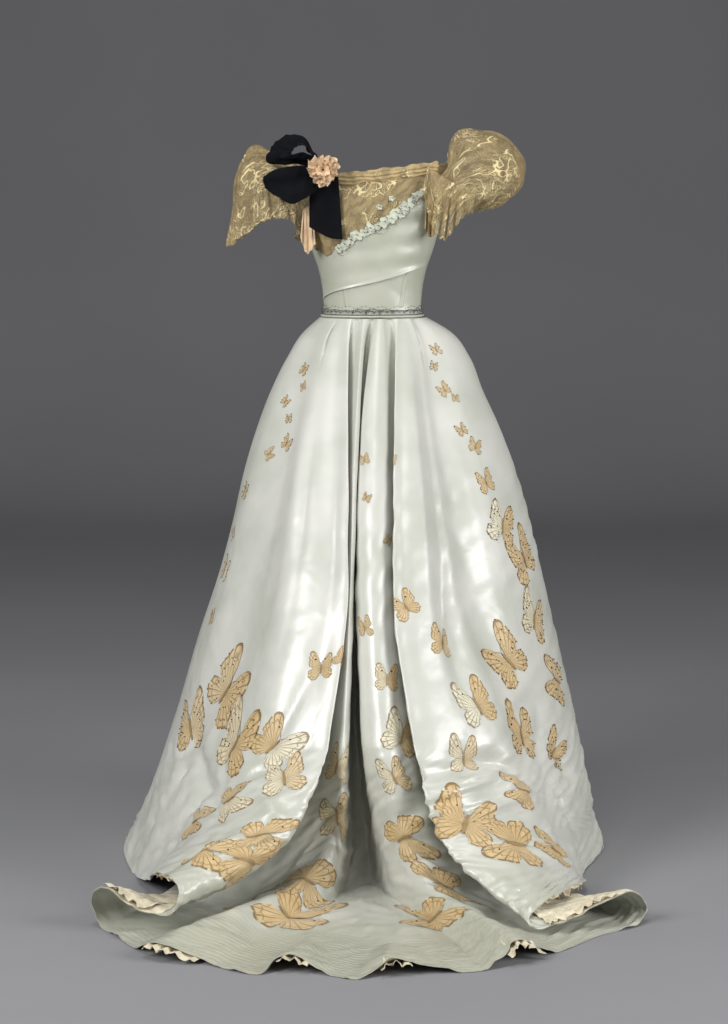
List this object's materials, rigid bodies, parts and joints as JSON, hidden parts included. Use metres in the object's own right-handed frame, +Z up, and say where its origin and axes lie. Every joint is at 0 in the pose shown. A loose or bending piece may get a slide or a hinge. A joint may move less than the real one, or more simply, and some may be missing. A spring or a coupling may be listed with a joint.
{
  "type": "ball gown",
  "caption": "Ball gown in pale satin with a folded train, bare shoulders, a puff sleeve and a lace flounce, and a velvet bow at the back",
  "frame": {"origin": "centre of the waist, where the wearer's waist holds the gown up", "axes": "+Z up, the train towards +Y, the wearer's left towards +X"},
  "size_m": [0.9651, 1.317, 1.382],
  "materials": {
    "satin": "smooth silk satin, pale celadon",
    "velvet": "cut pile velvet, midnight blue",
    "cotton": "plain woven, cream",
    "lace": "fine net lace, ecru",
    "ribbon": "soft silk ribbon, peach",
    "braid": "braid closely set with cut beads"
  },
  "bodies": {
    "root": {"back_drape": "satin", "bodice_back": "satin", "bodice_front": "satin", "bodice_side_left": "satin", "bodice_side_right": "satin", "skirt_back_left": "satin", "skirt_back_right": "satin", "skirt_front": "satin", "skirt_side_left": "satin", "skirt_side_right": "satin", "waist_piping": "satin", "bow_knot": "velvet", "bow_loop": "velvet", "bow_tail": "velvet", "bow_wing": "velvet", "dust_ruffle_left_floor": "cotton", "dust_ruffle_left_lower": "cotton", "dust_ruffle_left_ridge": "cotton", "dust_ruffle_left_upper": "cotton", "dust_ruffle_right_floor": "cotton", "dust_ruffle_right_lower": "cotton", "dust_ruffle_right_ridge": "cotton", "dust_ruffle_right_upper": "cotton", "lining_left_lower": "cotton", "lining_left_upper": "cotton", "lining_right_lower": "cotton", "lining_right_upper": "cotton", "lace_yoke": "lace", "neck_band_back": "lace", "neck_band_front": "lace", "sleeve_left_flounce": "lace", "sleeve_right_fall": "lace", "sleeve_right_puff": "lace", "sleeve_right_tulle": "lace", "rosette_inner": "ribbon", "rosette_outer": "ribbon", "sleeve_left_frill": "ribbon", "waist_band": "braid"}
  },
  "joints": []
}
